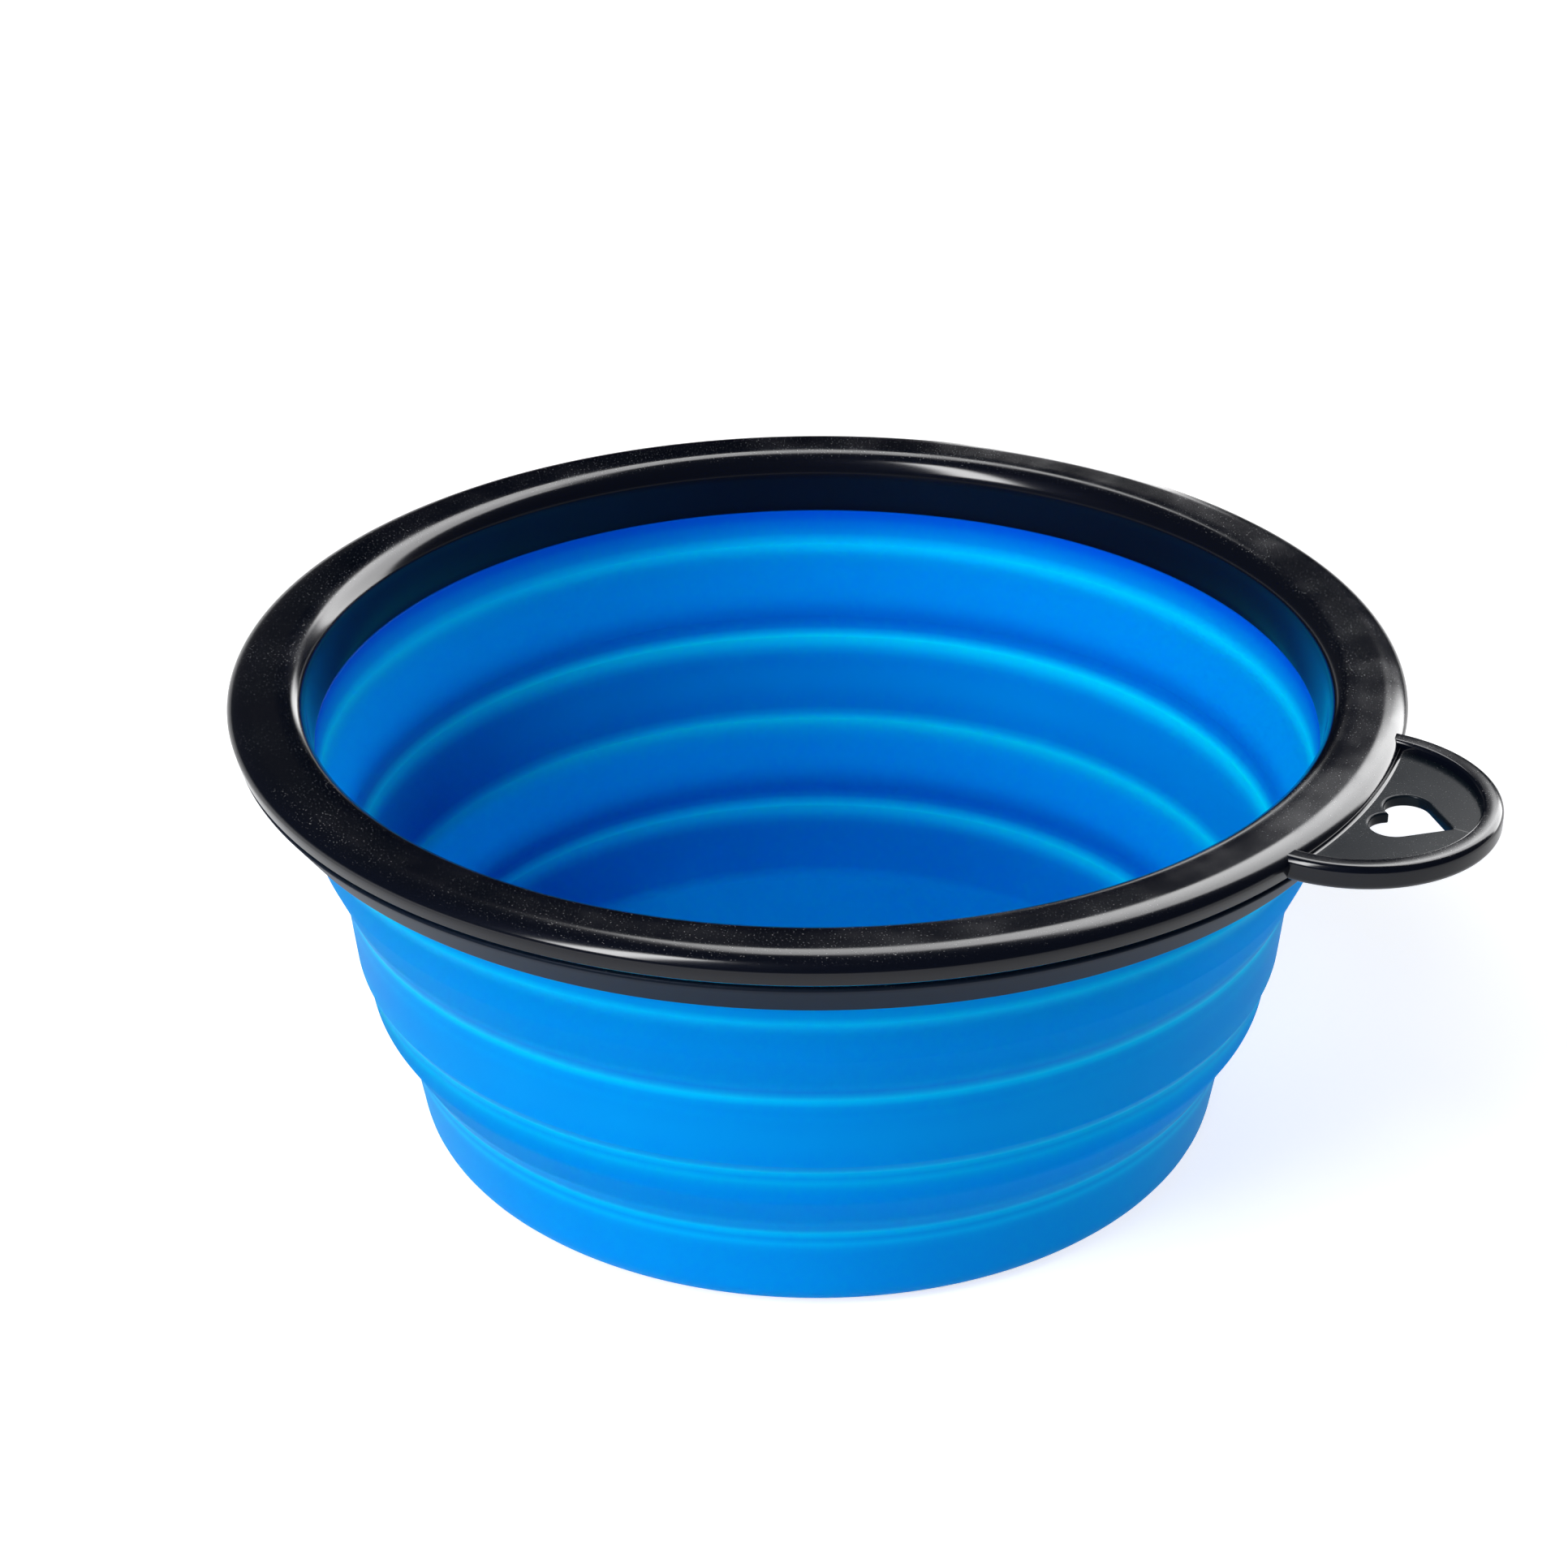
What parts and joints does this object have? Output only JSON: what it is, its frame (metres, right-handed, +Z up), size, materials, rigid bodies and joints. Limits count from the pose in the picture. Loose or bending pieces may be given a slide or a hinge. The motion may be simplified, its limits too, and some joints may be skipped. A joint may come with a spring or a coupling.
{
  "type": "collapsible pet bowl",
  "caption": "Round travel bowl for pets: a soft ribbed cup that folds flat in stages under a hard two-part rim with a hanging tab and heart-shaped hole.",
  "frame": {"origin": "centre of the underside that the bowl stands on", "axes": "+Z up along the bowl's axis, +X from the axis towards the hanging tab"},
  "size_m": [0.1439, 0.13, 0.055],
  "materials": {
    "black_plastic": "glossy moulded plastic with faint dust and scuffs on the top face",
    "blue_silicone": "soft satin silicone, faintly translucent at thin ridges"
  },
  "bodies": {
    "base": {"base_cup": "blue_silicone", "lower_fold_web": "blue_silicone"},
    "middle": {"middle_band": "blue_silicone", "upper_fold_web": "blue_silicone"},
    "rim": {"rim_ring": "black_plastic", "hanging_tab": "black_plastic", "clamp_ring": "black_plastic", "anchor_flange": "blue_silicone", "collar": "blue_silicone"}
  },
  "joints": [
    {"name": "lower_fold", "type": "slide", "parent": "base", "child": "middle", "axis": [0, 0, 1], "range_m": [-0.0182, 0], "deforming": ["lower_fold_web"]},
    {"name": "upper_fold", "type": "slide", "parent": "middle", "child": "rim", "axis": [0, 0, 1], "range_m": [-0.0215, 0], "deforming": ["upper_fold_web"]}
  ]
}
